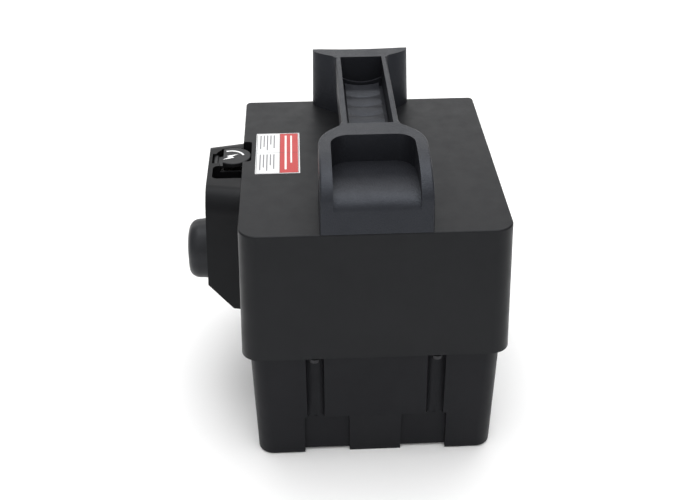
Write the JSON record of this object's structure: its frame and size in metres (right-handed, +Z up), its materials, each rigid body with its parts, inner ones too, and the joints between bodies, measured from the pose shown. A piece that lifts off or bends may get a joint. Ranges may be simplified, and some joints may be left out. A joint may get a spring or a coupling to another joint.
{
  "type": "battery pack",
  "caption": "Boxed battery pack: deep lid over a tapered tub, moulded carry handle on top, side housing with a flapped charging socket and a sprung release paddle.",
  "frame": {"origin": "centre of the base, on the level the three skids stand on", "axes": "+Z up, X along the carry handle, -Y towards the side housing with the charging port and the release paddle"},
  "size_m": [0.2088, 0.2187, 0.2235],
  "materials": {
    "tub_plastic": "satin, fine mould texture",
    "lid_plastic": "satin",
    "handle_plastic": "matte, grained",
    "housing_plastic": "satin",
    "flap_plastic": "satin",
    "paddle_plastic": "satin",
    "print_white": "printed",
    "label_film": "printed film",
    "screw_steel": "zinc plated",
    "pin_steel": "ground",
    "spring_steel": "drawn",
    "socket_metal": "dull nickel",
    "insert_plastic": "moulded",
    "contact_brass": "plated",
    "case_grey": "moulded ABS",
    "cover_grey": "moulded ABS",
    "lead_metal": "cast lead",
    "copper": "tinned",
    "wire_red": "insulation",
    "wire_black": "insulation",
    "fuse_plastic": "translucent",
    "socket_black": "moulded",
    "foam": "closed-cell foam"
  },
  "bodies": {
    "pack": {"tub": "tub_plastic", "lid": "lid_plastic", "lid_screws": "screw_steel", "carry_handle": "handle_plastic", "handle_screws": "screw_steel", "port_housing": "housing_plastic", "housing_screws": "screw_steel", "flap_pin": "pin_steel", "socket_shell": "socket_metal", "socket_insert": "insert_plastic", "socket_contacts": "contact_brass", "socket_screws": "screw_steel", "paddle_pin": "pin_steel", "paddle_spring": "spring_steel", "label_plate": "label_film", "terminal_bolts": "screw_steel", "cable_lugs": "copper", "series_lead": "wire_black", "positive_lead": "wire_red", "negative_lead": "wire_black", "fused_lead": "wire_red", "charge_lead_plus": "wire_red", "charge_lead_minus": "wire_black", "fuse_holder": "socket_black", "fuse": "fuse_plastic", "output_bodies": "socket_black", "output_contacts": "contact_brass", "base_pad": "foam", "side_pads": "foam", "top_pads": "foam", "battery_case_a": "case_grey", "plate_stacks_a": "lead_metal", "battery_cover_a": "cover_grey", "vent_strip_a": "cover_grey", "terminals_a": "lead_metal", "battery_case_b": "case_grey", "plate_stacks_b": "lead_metal", "battery_cover_b": "cover_grey", "vent_strip_b": "cover_grey", "terminals_b": "lead_metal"},
    "flap": {"charge_flap": "flap_plastic", "flap_symbol": "print_white"},
    "paddle": {"release_paddle": "paddle_plastic"}
  },
  "joints": [
    {"name": "flap_hinge", "type": "hinge", "parent": "pack", "child": "flap", "pos_m": [-0.012, -0.1066, 0.1766], "axis": [1, 0, 0], "range_deg": [0, 105]},
    {"name": "paddle_hinge", "type": "hinge", "parent": "pack", "child": "paddle", "pos_m": [0, -0.106, 0.1275], "axis": [-1, 0, 0], "range_deg": [0, 10], "stiffness_Nm_per_rad": 0.15, "springref_deg": -9.74}
  ]
}
